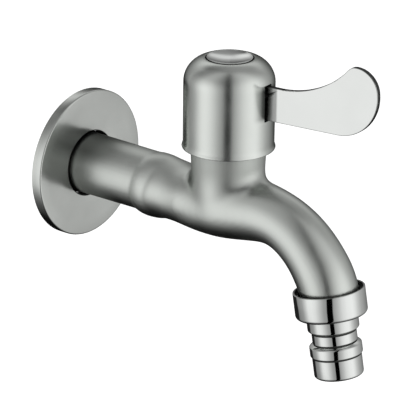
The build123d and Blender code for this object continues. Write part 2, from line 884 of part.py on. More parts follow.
# Index cap: a dished plug in the hole of the dome, with a ring that clips in the counterbore
cap_r = dome_hole_r - handle_fit
cap_top_z = dome_top_z - cap_sink
cap_bottom_z = core_top_z + handle_fit
cap_spigot_r = counterbore_r - handle_fit
with BuildPart() as index_cap:
    with BuildSketch(upright_plane()):
        with BuildLine():
            Spline(
                (0, cap_top_z - cap_dish_depth),
                (cap_r - cap_rim_width, cap_top_z),
                tangents=[(1, 0), (1, cap_rim_slope)],
            )
            Polyline(
                (cap_r - cap_rim_width, cap_top_z),
                (cap_r, cap_top_z),
                (cap_r, cap_bottom_z),
                (cap_spigot_r, cap_bottom_z),
                (cap_spigot_r, cap_bottom_z - cap_spigot_length),
                (cap_spigot_r - cap_spigot_wall, cap_bottom_z - cap_spigot_length),
                (cap_spigot_r - cap_spigot_wall, cap_bottom_z),
                (0, cap_bottom_z),
                (0, cap_top_z - cap_dish_depth),
            )
        make_face()
    revolve(axis=headwork_axis)

index_cap.part.label = "index_cap"
export_step(index_cap.part, "parts/index_cap.step")

# Hose nozzle: a collar with the socket for the spout's thread, and the grooved spigot
ring_slope = ring_r - groove_r
with BuildPart() as hose_nozzle:
    with BuildSketch(nozzle_plane) as nozzle_profile:
        with BuildLine():
            Polyline(
                (mouth_r, 0),
                (collar_r, 0),
                (collar_r, collar_height),
                (step_r, collar_height),
                (step_r, step_end - step_slope),
                (groove_r, step_end),
                (groove_r, ring_start - ring_slope),
                (ring_r, ring_start),
                (ring_r, ring_end),
                (spigot_r, ring_end + ring_r - spigot_r),
                (spigot_r, nozzle_length),
                (nozzle_bore_r, nozzle_length),
                (nozzle_bore_r, socket_depth),
                (thread_bore_r, socket_depth),
                (thread_bore_r, mouth_depth),
                (mouth_r, mouth_depth),
                close=True,
            )
        make_face()
    revolve(axis=nozzle_axis)

    def outer_edge(distance, radius):
        """The round edge of the nozzle with this radius, so far from the collar's rim."""
        middle = nozzle_rim + nozzle_dir * distance
        close_to = thread_gap / 5
        circles = hose_nozzle.edges().filter_by(GeomType.CIRCLE)
        return circles.filter_by(
            lambda edge: abs(edge.radius - radius) < close_to
            and (edge.arc_center - middle).length < close_to
        )

    fillet(outer_edge(collar_height, collar_r), collar_edge_r)
    fillet(outer_edge(0, collar_r), collar_rim_r)
    fillet(outer_edge(nozzle_length, spigot_r), nozzle_end_r)

hose_nozzle.part.label = "hose_nozzle"
export_step(hose_nozzle.part, "parts/hose_nozzle.step")

# Flat rubber ring in the bottom of the nozzle's socket
with BuildPart() as nozzle_washer:
    with BuildSketch(nozzle_plane):
        with BuildLine():
            Polyline(
                (nozzle_bore_r + nozzle_washer_overlap, spout_thread_end + nozzle_washer_play),
                (thread_bore_r - nozzle_washer_fit, spout_thread_end + nozzle_washer_play),
                (thread_bore_r - nozzle_washer_fit, socket_depth - nozzle_washer_play),
                (nozzle_bore_r + nozzle_washer_overlap, socket_depth - nozzle_washer_play),
                close=True,
            )
        make_face()
    revolve(axis=nozzle_axis)

nozzle_washer.part.label = "nozzle_washer"
export_step(nozzle_washer.part, "parts/nozzle_washer.step")
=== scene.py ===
import json
from math import atan2, cos, pi, radians, sin

import bpy
from mathutils import Matrix, Vector

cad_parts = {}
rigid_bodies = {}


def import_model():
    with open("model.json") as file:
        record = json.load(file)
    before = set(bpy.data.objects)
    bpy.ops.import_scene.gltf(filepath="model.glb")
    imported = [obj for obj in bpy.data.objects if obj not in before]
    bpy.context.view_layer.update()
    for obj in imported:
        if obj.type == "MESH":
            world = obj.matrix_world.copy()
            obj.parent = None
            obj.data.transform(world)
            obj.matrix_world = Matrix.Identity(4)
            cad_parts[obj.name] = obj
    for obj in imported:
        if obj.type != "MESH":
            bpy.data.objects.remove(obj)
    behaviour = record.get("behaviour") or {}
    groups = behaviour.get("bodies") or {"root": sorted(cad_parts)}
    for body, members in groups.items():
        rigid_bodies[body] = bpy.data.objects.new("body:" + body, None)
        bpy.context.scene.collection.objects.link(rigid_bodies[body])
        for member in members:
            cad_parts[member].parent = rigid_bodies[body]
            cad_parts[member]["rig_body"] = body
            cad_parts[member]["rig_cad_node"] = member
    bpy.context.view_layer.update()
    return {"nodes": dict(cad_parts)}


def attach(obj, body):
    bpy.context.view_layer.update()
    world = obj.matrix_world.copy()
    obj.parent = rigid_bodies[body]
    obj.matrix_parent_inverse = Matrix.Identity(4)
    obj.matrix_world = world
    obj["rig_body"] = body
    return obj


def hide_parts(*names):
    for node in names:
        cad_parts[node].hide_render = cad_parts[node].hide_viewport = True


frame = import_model()
nodes = frame["nodes"]
MM = 0.001

# Studio: the tap hangs in front of a white ground, over a pale floor. It stands between two
# broad soft lights with a narrow dark gap between them, where the camera looks through, and the
# room under it is dark, as the black undersides of the real one show.
scene = bpy.context.scene
scene.view_settings.view_transform = "Standard"

camera_data = bpy.data.cameras.new("camera")
camera_data.sensor_width = 36
camera_data.lens = 246.02
camera_data.clip_end = 20
camera = bpy.data.objects.new("camera", camera_data)
scene.collection.objects.link(camera)
camera_right = Vector((0.77409945, 0.63295852, 0.01155639))
camera_up = Vector((-0.23638452, 0.27206428, 0.93279332))
camera_forward = Vector((-0.5872754, 0.72480655, -0.36022641))
camera_turn = Matrix((camera_right, camera_up, -camera_forward)).transposed()
camera.matrix_world = Matrix.LocRotScale(
    Vector((0.647943, -0.726047, 0.356645)), camera_turn.to_quaternion(), None
)
scene.camera = camera


def link_nodes(tree, *pairs):
    """Joins sockets, each from a source to a target."""
    for source, target in pairs:
        tree.links.new(source, target)


def work_out(tree, operation, *values):
    """One step of arithmetic between sockets or numbers."""
    node = tree.nodes.new("ShaderNodeMath")
    node.operation = operation
    for slot, value in zip(node.inputs, values):
        if isinstance(value, (int, float)):
            slot.default_value = value
        else:
            tree.links.new(value, slot)
    return node.outputs[0]


def tone_ramp(tree, source, stops):
    """A row of grey tones along a number from 0 to 1."""
    node = tree.nodes.new("ShaderNodeValToRGB")
    ramp = node.color_ramp
    while len(ramp.elements) < len(stops):
        ramp.elements.new(0.5)
    for element, (position, tone) in zip(ramp.elements, stops):
        element.position = position
        element.color = (tone, tone, tone, 1)
    tree.links.new(source, node.inputs[0])
    return node.outputs[0]


toward_camera = (0.5824, -0.7260)
camera_side = atan2(toward_camera[1], toward_camera[0])
world = bpy.data.worlds.new("studio")
scene.world = world
world.use_nodes = True
room = world.node_tree
room.nodes.clear()
direction = room.nodes.new("ShaderNodeTexCoord")
turned_direction = room.nodes.new("ShaderNodeVectorRotate")
turned_direction.rotation_type = "Z_AXIS"
turned_direction.inputs["Angle"].default_value = -camera_side
parts_of = room.nodes.new("ShaderNodeSeparateXYZ")
link_nodes(
    room,
    (direction.outputs["Generated"], turned_direction.inputs["Vector"]),
    (turned_direction.outputs[0], parts_of.inputs[0]),
)
around = work_out(room, "ARCTAN2", parts_of.outputs["Y"], parts_of.outputs["X"])
around = work_out(room, "MULTIPLY_ADD", around, 0.5 / pi, 0.5)
height = work_out(room, "ARCSINE", parts_of.outputs["Z"])
height = work_out(room, "MULTIPLY_ADD", height, 1 / pi, 0.5)


def soft_light(walls, heights, level):
    """A broad light: its tones by degrees to the camera's right, and by degrees of height."""
    wall_tone = tone_ramp(room, around, [((turn + 180) / 360, tone) for turn, tone in walls])
    height_tone = tone_ramp(room, height, [((turn + 90) / 180, tone) for turn, tone in heights])
    light = work_out(room, "MULTIPLY", wall_tone, height_tone)
    return work_out(room, "MULTIPLY", light, level)


left_walls = [
    (-180, 0.02),
    (-126, 0.02),
    (-123, 0.26),
    (-119, 0.30),
    (-97, 0.42),
    (-85, 0.68),
    (-74, 0.97),
    (-60, 1.0),
    (-48, 0.90),
    (-36, 0.68),
    (-22, 0.42),
    (-12.4, 0.34),
    (-11.4, 0.0),
]
left_heights = [
    (-90, 0.0),
    (-70, 0.02),
    (-58, 0.08),
    (-48, 0.24),
    (-38, 0.46),
    (-30, 0.80),
    (-23, 0.97),
    (-10, 1.0),
    (4, 1.0),
    (14, 0.90),
    (26, 0.72),
    (38, 0.52),
    (50, 0.43),
    (64, 0.34),
    (80, 0.18),
    (90, 0.0),
]
right_walls = [
    (5.6, 0.0),
    (6.6, 0.34),
    (22, 0.56),
    (36, 0.80),
    (52, 0.95),
    (70, 1.0),
    (80, 0.88),
    (92, 0.66),
    (107, 0.47),
    (130, 0.33),
    (150, 0.22),
    (180, 0.06),
]
right_heights = [
    (-90, 0.0),
    (-72, 0.03),
    (-60, 0.12),
    (-48, 0.28),
    (-38, 0.48),
    (-30, 0.80),
    (-23, 0.97),
    (-10, 1.0),
    (10, 1.0),
    (24, 0.92),
    (34, 0.80),
    (46, 0.62),
    (58, 0.48),
    (70, 0.34),
    (80, 0.18),
    (90, 0.0),
]
back_walls = [
    (-180, 1.0),
    (-160, 0.8),
    (-140, 0.35),
    (-115, 0.0),
    (115, 0.0),
    (140, 0.4),
    (160, 0.8),
    (180, 1.0),
]
back_heights = [
    (-12, 0.0),
    (2, 0.1),
    (14, 0.18),
    (24, 0.48),
    (32, 0.9),
    (39, 0.9),
    (48, 0.34),
    (66, 0.12),
    (84, 0.0),
]
far_left_walls = [(-176, 0.0), (-166, 0.8), (-150, 1.0), (-126, 1.0), (-112, 0.0)]
far_left_heights = [(-15, 0.0), (-7, 0.8), (4, 1.0), (42, 1.0), (52, 0.0)]
ceiling_walls = [(-180, 1.0), (-26, 1.0), (-12, 0.2), (6, 0.2), (20, 1.0), (180, 1.0)]
ceiling_heights = [(36, 0.0), (60, 0.12), (74, 0.25), (90, 0.30)]
room_light = soft_light(left_walls, left_heights, 1.1)
for walls, heights, level in (
    (right_walls, right_heights, 1.14),
    (back_walls, back_heights, 0.9),
    (far_left_walls, far_left_heights, 0.34),
    (ceiling_walls, ceiling_heights, 0.9),
):
    room_light = work_out(room, "ADD", room_light, soft_light(walls, heights, level))
seen = room.nodes.new("ShaderNodeLightPath")
camera_sees = seen.outputs["Is Camera Ray"]
tap_sees = work_out(room, "SUBTRACT", 1.0, camera_sees)
room_light = work_out(room, "MULTIPLY_ADD", room_light, tap_sees, camera_sees)
background = room.nodes.new("ShaderNodeBackground")
background.inputs["Color"].default_value = (1, 1, 1, 1)
world_output = room.nodes.new("ShaderNodeOutputWorld")
link_nodes(
    room,
    (room_light, background.inputs["Strength"]),
    (background.outputs[0], world_output.inputs["Surface"]),
)

lamp_aim = Vector((0.06, 0, 0.01))
lamp_distance = 1.3
for lamp_name, turn, rise, power in (
    ("soft_light_left", -58, 24, 2.2),
    ("soft_light_right", 66, 18, 1.6),
):
    lamp_data = bpy.data.lights.new(lamp_name, "AREA")
    lamp_data.shape = "RECTANGLE"
    lamp_data.size = 0.7
    lamp_data.size_y = 0.9
    lamp_data.energy = power
    lamp = bpy.data.objects.new(lamp_name, lamp_data)
    scene.collection.objects.link(lamp)
    heading = camera_side + radians(turn)
    level_share = cos(radians(rise))
    away = Vector((cos(heading) * level_share, sin(heading) * level_share, sin(radians(rise))))
    lamp.location = lamp_aim + lamp_distance * away
    lamp.rotation_euler = away.to_track_quat("Z", "Y").to_euler()
    lamp.visible_glossy = False

floor_level = -0.3
floor_width = 9
bpy.ops.object.select_all(action="DESELECT")
bpy.ops.mesh.primitive_plane_add(size=1, location=(0, 0, floor_level))
floor = bpy.context.object
floor.name = "floor"
bpy.ops.object.mode_set(mode="EDIT")
bpy.ops.mesh.subdivide(number_cuts=7)
bpy.ops.transform.resize(value=(floor_width, floor_width, 1))
bpy.ops.object.mode_set(mode="OBJECT")
floor.visible_glossy = False
floor_material = bpy.data.materials.new("pale_floor")
floor_material.use_nodes = True
ground = floor_material.node_tree
ground.nodes.clear()
ground_paint = ground.nodes.new("ShaderNodeBsdfDiffuse")
ground_paint.inputs["Color"].default_value = (0.85, 0.85, 0.85, 1)
ground_glow = ground.nodes.new("ShaderNodeEmission")
ground_seen = ground.nodes.new("ShaderNodeLightPath")
ground_strength = work_out(ground, "MULTIPLY", ground_seen.outputs["Is Camera Ray"], 0.75)
ground_sum = ground.nodes.new("ShaderNodeAddShader")
ground_output = ground.nodes.new("ShaderNodeOutputMaterial")
link_nodes(
    ground,
    (ground_strength, ground_glow.inputs["Strength"]),
    (ground_paint.outputs[0], ground_sum.inputs[0]),
    (ground_glow.outputs[0], ground_sum.inputs[1]),
    (ground_sum.outputs[0], ground_output.inputs["Surface"]),
)
floor.data.materials.append(floor_material)

# Body: one stainless steel casting, blasted and tumbled to a dull satin. A cast bead goes round
# its tail in front of the flange, its neck stands on the belly, and both of its ends carry a
# G 1/2 thread.


def new_metal(name, colour, roughness, edge=0.4):
    """A bare metal with its tree and shader, and the object's own coordinates for its marks."""
    material = bpy.data.materials.new(name)
    material.use_nodes = True
    tree = material.node_tree
    tree.nodes.clear()
    shader = tree.nodes.new("ShaderNodeBsdfPrincipled")
    shader.inputs["Metallic"].default_value = 1
    shader.inputs["Base Color"].default_value = (*colour, 1)
    shader.inputs["Roughness"].default_value = roughness
    shader.inputs["Specular Tint"].default_value = (edge, edge, edge, 1)
    output = tree.nodes.new("ShaderNodeOutputMaterial")
    place = tree.nodes.new("ShaderNodeTexCoord")
    tree.links.new(shader.outputs[0], output.inputs["Surface"])
    return material, tree, shader, place.outputs["Object"]


def marks(tree, place, scale, detail=3, stretch=(1, 1, 1)):
    """Uneven marks, so many to the metre, drawn out or squeezed along an axis by its stretch."""
    mapping = tree.nodes.new("ShaderNodeMapping")
    mapping.vector_type = "TEXTURE"
    mapping.inputs["Scale"].default_value = stretch
    noise = tree.nodes.new("ShaderNodeTexNoise")
    noise.inputs["Scale"].default_value = scale
    noise.inputs["Detail"].default_value = detail
    link_nodes(
        tree,
        (place, mapping.inputs["Vector"]),
        (mapping.outputs[0], noise.inputs["Vector"]),
    )
    return noise.outputs[0]


marks_low = 0.3
marks_high = 0.7


def between(tree, source, low, high):
    """Spreads uneven marks between two values."""
    node = tree.nodes.new("ShaderNodeMapRange")
    node.inputs["From Min"].default_value = marks_low
    node.inputs["From Max"].default_value = marks_high
    node.inputs["To Min"].default_value = low
    node.inputs["To Max"].default_value = high
    tree.links.new(source, node.inputs["Value"])
    return node.outputs[0]


def tinted(tree, source, dark, light):
    """A colour that wanders between two."""
    node = tree.nodes.new("ShaderNodeValToRGB")
    node.color_ramp.elements[0].position = marks_low
    node.color_ramp.elements[1].position = marks_high
    node.color_ramp.elements[0].color = (*dark, 1)
    node.color_ramp.elements[1].color = (*light, 1)
    tree.links.new(source, node.inputs[0])
    return node.outputs[0]


def dents(tree, source, depth, strength, under=None):
    """Turns marks into dents, so many metres deep, on top of other dents if there are any."""
    node = tree.nodes.new("ShaderNodeBump")
    node.inputs["Distance"].default_value = depth
    node.inputs["Strength"].default_value = strength
    tree.links.new(source, node.inputs["Height"])
    if under is not None:
        tree.links.new(under, node.inputs["Normal"])
    return node.outputs[0]


def fading(tree, source, full, none, level=1.0):
    """A share that goes from its level to nothing between two distances in mm."""
    node = tree.nodes.new("ShaderNodeMapRange")
    node.interpolation_type = "SMOOTHSTEP"
    node.inputs["From Min"].default_value = full * MM
    node.inputs["From Max"].default_value = none * MM
    node.inputs["To Min"].default_value = level
    node.inputs["To Max"].default_value = 0.0
    tree.links.new(source, node.inputs["Value"])
    return node.outputs[0]


def add_painted_shade(tree, colour, share):
    """A steel's colour, darkened towards near black by a share, as painted shade."""
    node = tree.nodes.new("ShaderNodeMix")
    node.data_type = "RGBA"
    # The near-black colour that the painted shade mixes in.
    shade_colour = (0.01, 0.011, 0.01, 1)
    node.inputs["B"].default_value = shade_colour
    link_nodes(tree, (share, node.inputs["Factor"]), (colour, node.inputs["A"]))
    return node.outputs["Result"]


def finish_shader(tree, shader, colour, roughness, dented):
    """Joins a material's colour, roughness and dents to its shader."""
    link_nodes(
        tree,
        (colour, shader.inputs["Base Color"]),
        (roughness, shader.inputs["Roughness"]),
        (dented, shader.inputs["Normal"]),
    )


def select_only(piece):
    """Takes one piece in hand."""
    bpy.ops.object.select_all(action="DESELECT")
    piece.select_set(True)
    bpy.context.view_layer.objects.active = piece


def merged_copy(node, name):
    """A copy of a solid's surface with its corners joined, as a start for the finished piece."""
    piece = nodes[node].copy()
    piece.data = nodes[node].data.copy()
    piece.name = name
    piece.parent = None
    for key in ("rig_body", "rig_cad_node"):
        if key in piece:
            del piece[key]
    scene.collection.objects.link(piece)
    select_only(piece)
    bpy.ops.object.mode_set(mode="EDIT")
    bpy.ops.mesh.select_all(action="SELECT")
    bpy.ops.mesh.remove_doubles(threshold=2e-6)
    bpy.ops.object.mode_set(mode="OBJECT")
    return piece


def select_points(piece, chosen):
    """Opens the piece in hand for editing, with its chosen points selected."""
    bpy.ops.object.mode_set(mode="EDIT")
    bpy.ops.mesh.select_all(action="DESELECT")
    bpy.ops.object.mode_set(mode="OBJECT")
    for point in piece.data.vertices:
        point.select = chosen(point.co)
    bpy.ops.object.mode_set(mode="EDIT")


def face_outward():
    """Turns the faces of the piece in hand outwards."""
    bpy.ops.object.mode_set(mode="EDIT")
    bpy.ops.mesh.select_all(action="SELECT")
    bpy.ops.mesh.normals_make_consistent(inside=False)
    bpy.ops.object.mode_set(mode="OBJECT")


def set_in_place(piece, location=(0, 0, 0), turn=(0, 0, 0)):
    """Moves and turns a piece made at the origin, and keeps its new place in the mesh."""
    piece.location = location
    piece.rotation_euler = turn
    select_only(piece)
    bpy.ops.object.transform_apply(location=True, rotation=True, scale=True)


def finish_modifiers(piece):
    """Makes all modifiers of a piece a part of its mesh."""
    select_only(piece)
    for modifier in list(piece.modifiers):
        bpy.ops.object.modifier_apply(modifier=modifier.name)


def from_tail_axis(spot):
    """How far a spot is from the tail's axis."""
    return (spot.y**2 + spot.z**2) ** 0.5


def dress(piece, material, body=None, stands_for=None):
    """Gives a piece its finish, sets the body it rides on, and hides the solid it stands for."""
    piece.data.materials.clear()
    piece.data.materials.append(material)
    if body is not None:
        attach(piece, body)
    if stands_for is not None:
        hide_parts(stands_for)


cast_steel, tree, shader, place = new_metal("cast_steel", (0.68, 0.705, 0.672), 0.39, edge=0.25)
cast_cloud = marks(tree, place, 70, detail=4)
cast_grain = marks(tree, place, 2600, detail=2)
cast_wave = marks(tree, place, 95, detail=1)
cast_place = tree.nodes.new("ShaderNodeSeparateXYZ")
tree.links.new(place, cast_place.inputs[0])
rougher_neck = fading(tree, cast_place.outputs["Z"], 17, 8, 0.17)
# Painted shade: the top of the tail next to the flange is darkened, fading out along the tail and
# downwards.
flange_painted_shade = work_out(
    tree,
    "MULTIPLY",
    fading(tree, cast_place.outputs["X"], 9, 28, 0.72),
    fading(tree, cast_place.outputs["Z"], 8.2, 2.6),
)
cast_colour = tinted(tree, cast_cloud, (0.645, 0.67, 0.638), (0.705, 0.732, 0.70))
finish_shader(
    tree,
    shader,
    add_painted_shade(tree, cast_colour, flange_painted_shade),
    work_out(tree, "ADD", between(tree, cast_cloud, 0.31, 0.39), rougher_neck),
    dents(tree, cast_grain, 0.00002, 0.5, under=dents(tree, cast_wave, 0.0002, 0.35)),
)

# The solid's two thread cylinders stand at the crests, so they are drawn in to the roots first.
casting = merged_copy("body", "tap_casting")
thread_crest_r = 10.4775 * MM
thread_root_r = 9.25 * MM
thread_lead = 1.8143 * MM
thread_core_share = 0.8924
thread_most_r = 10.7 * MM
inlet_least_r = 9.6 * MM
inlet_end_x = 0.01 * MM
select_points(
    casting,
    lambda spot: spot.x < inlet_end_x and inlet_least_r < from_tail_axis(spot) < thread_most_r,
)
bpy.ops.transform.resize(
    value=(1, thread_core_share, thread_core_share), center_override=(0, 0, 0)
)
bpy.ops.object.mode_set(mode="OBJECT")

nozzle_rim = Vector((112.066, 0, -19.5812)) * MM
nozzle_down = Vector((0.180519, 0, -0.983571))
nozzle_turn = nozzle_down.to_track_quat("Z", "Y").to_euler()


def draw_in_spout_ring(depth, least_r):
    """Draws in the ring of the spout's thread that is so deep under the collar's rim, in mm."""
    middle = nozzle_rim + nozzle_down * depth * MM
    slack = 0.1 * MM

    def in_ring(spot):
        offset = spot - middle
        level = abs(offset.dot(nozzle_down)) < slack
        return level and least_r * MM < offset.length < thread_most_r

    select_points(casting, in_ring)
    bpy.ops.transform.resize(value=(thread_core_share,) * 3, center_override=middle)
    bpy.ops.object.mode_set(mode="OBJECT")


draw_in_spout_ring(1.13, 10.3)
draw_in_spout_ring(5.2, 10.3)
draw_in_spout_ring(6.0, 9.6)
remesh = casting.modifiers.new("even_surface", "REMESH")
remesh.mode = "VOXEL"
remesh.voxel_size = 0.56 * MM
finish_modifiers(casting)

# The bead's crest is drawn out a little towards the belly.
bead_crest_x = 41 * MM
bead_crest_reach = 0.6 * MM
bead_least_r = 9.5 * MM
bead_shift = 1.4 * MM
select_points(
    casting,
    lambda spot: from_tail_axis(spot) > bead_least_r
    and abs(spot.x - bead_crest_x) < bead_crest_reach,
)
bpy.ops.transform.translate(
    value=(bead_shift, 0, 0),
    use_proportional_edit=True,
    proportional_edit_falloff="SMOOTH",
    proportional_size=9 * MM,
)
bpy.ops.object.mode_set(mode="OBJECT")

# The two flanks swell between the bead and the belly, which they join nearly straight.
flank_start_x = 40 * MM
flank_end_x = 66 * MM
flank_rise = 8 * MM
flank_fall = 16 * MM
flank_top_z = 13 * MM
flank_top_fade = 6 * MM
flank_least_r = 9.2 * MM
flanks = casting.vertex_groups.new(name="flanks")
for point in casting.data.vertices:
    spot = point.co
    reach = from_tail_axis(spot)
    along = min((spot.x - flank_start_x) / flank_rise, (flank_end_x - spot.x) / flank_fall, 1.0)
    upward = min((flank_top_z - spot.z) / flank_top_fade, 1.0)
    if along > 0 and upward > 0 and reach > flank_least_r:
        share = along**2 * (3 - 2 * along) * upward * (spot.y / reach) ** 2
        flanks.add([point.index], share, "REPLACE")
swell = casting.modifiers.new("flank_swell", "DISPLACE")
swell.mid_level = 0
swell.strength = 2.1 * MM
swell.vertex_group = "flanks"
finish_modifiers(casting)

# The seams where the neck and the waist meet the belly are blended, and all is softened a bit.
headwork_x = 67.5 * MM
neck_seam_least_r = 10.9 * MM
neck_seam_most_r = 18 * MM
neck_seam_side_fade = 3 * MM
neck_seam_foot_z = -6 * MM
neck_seam_top_z = 17 * MM
neck_seam_end_fade = 4 * MM
neck_seam_tail_r = 9 * MM
waist_start_x = 41 * MM
waist_start_fade = 2 * MM
waist_end_x = 53 * MM
waist_end_fade = 5 * MM
seams = casting.vertex_groups.new(name="seams")
for point in casting.data.vertices:
    spot = point.co
    across = ((spot.x - headwork_x) ** 2 + spot.y**2) ** 0.5
    beside_neck = neck_seam_least_r < across < neck_seam_most_r
    if beside_neck and from_tail_axis(spot) > neck_seam_tail_r:
        at_neck = min(
            (spot.z - neck_seam_foot_z) / neck_seam_end_fade,
            (neck_seam_top_z - spot.z) / neck_seam_end_fade,
            (neck_seam_most_r - across) / neck_seam_side_fade,
            1.0,
        )
        if at_neck > 0:
            seams.add([point.index], at_neck, "REPLACE")
    at_waist = min(
        (spot.x - waist_start_x) / waist_start_fade,
        (waist_end_x - spot.x) / waist_end_fade,
        1.0,
    )
    if at_waist > 0:
        seams.add([point.index], at_waist, "REPLACE")
blend = casting.modifiers.new("seam_blend", "SMOOTH")
blend.factor = 0.5
blend.iterations = 70
blend.vertex_group = "seams"
soften = casting.modifiers.new("cast_softness", "SMOOTH")
soften.factor = 0.5
soften.iterations = 3
finish_modifiers(casting)
bpy.ops.object.shade_smooth_by_angle(angle=radians(50))
dress(casting, cast_steel, "tap_body", "body")


def screw_thread(name, turns, location, turn):
    """The casting's thread ridge, made climbing along +Z and then set in place."""
    ridge_middle_r = (thread_crest_r + thread_root_r) / 2
    ridge_foot = 0.96 * thread_lead
    ridge_top_share = 0.26
    ridge_rounding = 0.14 * thread_lead
    steps_to_a_turn = 48
    bpy.ops.object.select_all(action="DESELECT")
    bpy.ops.mesh.primitive_plane_add(size=1, rotation=(pi / 2, 0, 0))
    ridge = bpy.context.object
    ridge.name = name
    bpy.ops.object.transform_apply(location=True, rotation=True, scale=True)
    bpy.ops.object.mode_set(mode="EDIT")
    bpy.ops.mesh.select_all(action="SELECT")
    bpy.ops.transform.resize(value=(thread_crest_r - thread_root_r, 1, ridge_foot))
    bpy.ops.transform.translate(value=(ridge_middle_r, 0, ridge_foot / 2))
    select_points(ridge, lambda spot: spot.x > ridge_middle_r)
    bpy.ops.mesh.select_mode(type="VERT")
    bpy.ops.transform.resize(
        value=(1, 1, ridge_top_share), center_override=(thread_crest_r, 0, ridge_foot / 2)
    )
    bpy.ops.mesh.bevel(affect="VERTICES", offset=ridge_rounding, segments=3)
    bpy.ops.mesh.select_all(action="SELECT")
    bpy.ops.object.mode_set(mode="OBJECT")
    climb = ridge.modifiers.new("climb", "SCREW")
    climb.axis = "Z"
    climb.angle = 2 * pi * turns
    climb.screw_offset = thread_lead * turns
    climb.steps = int(steps_to_a_turn * turns)
    climb.render_steps = climb.steps
    finish_modifiers(ridge)
    set_in_place(ridge, location, turn)
    face_outward()
    bpy.ops.object.shade_smooth_by_angle(angle=radians(40))
    dress(ridge, cast_steel, "tap_body")


inlet_thread_x = -0.3 * MM
screw_thread("inlet_thread", 6.4, (inlet_thread_x, 0, 0), (0, -pi / 2, 0))

# Handle dome: a drawn stainless steel shell, satin polished while it turned in the lathe. Its
# lip flares a little at the foot, and a slot for the lever is cut through its side.


def round_piece(name, rings):
    """A round piece, drawn out from ring to ring, each given by its radius and height in mm."""
    sides = 144
    bpy.ops.object.select_all(action="DESELECT")
    radius, level = rings[0]
    bpy.ops.mesh.primitive_circle_add(
        vertices=sides, radius=radius * MM, location=(0, 0, level * MM)
    )
    piece = bpy.context.object
    piece.name = name
    bpy.ops.object.transform_apply(location=True, rotation=True, scale=True)
    bpy.ops.object.mode_set(mode="EDIT")
    bpy.ops.mesh.select_mode(type="VERT")
    bpy.ops.mesh.select_all(action="SELECT")
    for next_radius, next_level in rings[1:]:
        bpy.ops.mesh.extrude_region_move(
            TRANSFORM_OT_translate={"value": (0, 0, (next_level - level) * MM)}
        )
        widen = next_radius / radius
        bpy.ops.transform.resize(
            value=(widen, widen, 1), center_override=(0, 0, next_level * MM)
        )
        radius, level = next_radius, next_level
    bpy.ops.mesh.select_all(action="SELECT")
    bpy.ops.mesh.remove_doubles(threshold=1e-6)
    face_outward()
    return piece


def arc(centre, radius, start, end, count):
    """Rings along a rounded edge, from one angle to another in degrees over the level."""
    points = []
    for step in range(count + 1):
        angle = radians(start + (end - start) * step / count)
        points.append((centre[0] + radius * cos(angle), centre[1] + radius * sin(angle)))
    return points


# The shell's profile, like those of the cap, the nozzle and the flange, is in millimetres.
headwork_place = (headwork_x, 0, 0)
dome_wall_r = 15.8
dome_sheet = 1.5
dome_inner_r = dome_wall_r - dome_sheet
dome_foot = 21.5
dome_top = 53.5
shoulder_r = 8.7
shoulder_ends_at = 80.0
shoulder_middle = (
    dome_wall_r - shoulder_r,
    dome_top - shoulder_r * sin(radians(shoulder_ends_at)),
)

lever_turn = radians(6)
slot_middle_z = 40.1 * MM


def from_the_slot(tree, place):
    """Reach along the lever, distance to its side, and height from the slot's middle."""
    mapping = tree.nodes.new("ShaderNodeMapping")
    mapping.vector_type = "TEXTURE"
    mapping.inputs["Location"].default_value = (headwork_x, 0, slot_middle_z)
    mapping.inputs["Rotation"].default_value = (0, 0, lever_turn)
    split = tree.nodes.new("ShaderNodeSeparateXYZ")
    link_nodes(
        tree, (place, mapping.inputs["Vector"]), (mapping.outputs[0], split.inputs[0])
    )
    across = work_out(tree, "ABSOLUTE", split.outputs["Y"])
    height = work_out(tree, "ABSOLUTE", split.outputs["Z"])
    return split.outputs["X"], across, height


turned_satin, tree, shader, place = new_metal(
    "turned_satin_steel", (0.70, 0.725, 0.695), 0.24, edge=0.2
)
turning_lines = marks(tree, place, 60, detail=5, stretch=(1, 1, 0.006))
satin_cloud = marks(tree, place, 90, detail=3)
satin_colour = tinted(tree, satin_cloud, (0.675, 0.70, 0.67), (0.725, 0.75, 0.72))
# Painted shade: the shell's colour is darkened on both sides of the slot, fading away from it, as
# a painted shadow of the lever.
reach, across, height = from_the_slot(tree, place)
painted_shade_beside_slot = work_out(
    tree, "MULTIPLY", fading(tree, across, 1.8, 7.6, 0.70), fading(tree, height, 4.3, 6.7)
)
painted_shade_beside_slot = work_out(tree, "MULTIPLY", painted_shade_beside_slot, fading(tree, reach, 12, 8))
finish_shader(
    tree,
    shader,
    add_painted_shade(tree, satin_colour, painted_shade_beside_slot),
    between(tree, satin_cloud, 0.21, 0.27),
    dents(tree, turning_lines, 0.00002, 0.25),
)

dome = round_piece(
    "handle_shell",
    [(dome_inner_r, dome_foot), (15.9, dome_foot), (16.1, 21.56), (16.2, 21.8), (16.14, 22.1)]
    + [(16.0, 22.5), (15.86, 22.9), (dome_wall_r, 23.3), (dome_wall_r, 24.2)]
    + [(dome_wall_r, 32.0), (dome_wall_r, 39.0)]
    + arc(shoulder_middle, shoulder_r, 0, shoulder_ends_at, 18)
    + [(8.5, dome_top - 0.01), (8.43, dome_top - 0.07), (8.4, dome_top - 0.2)]
    + [(8.4, dome_top - 1.4)]
    + arc(shoulder_middle, shoulder_r - dome_sheet, 78, 0, 10)
    + [(dome_inner_r, 32.0), (dome_inner_r, dome_foot)],
)
set_in_place(dome, headwork_place)

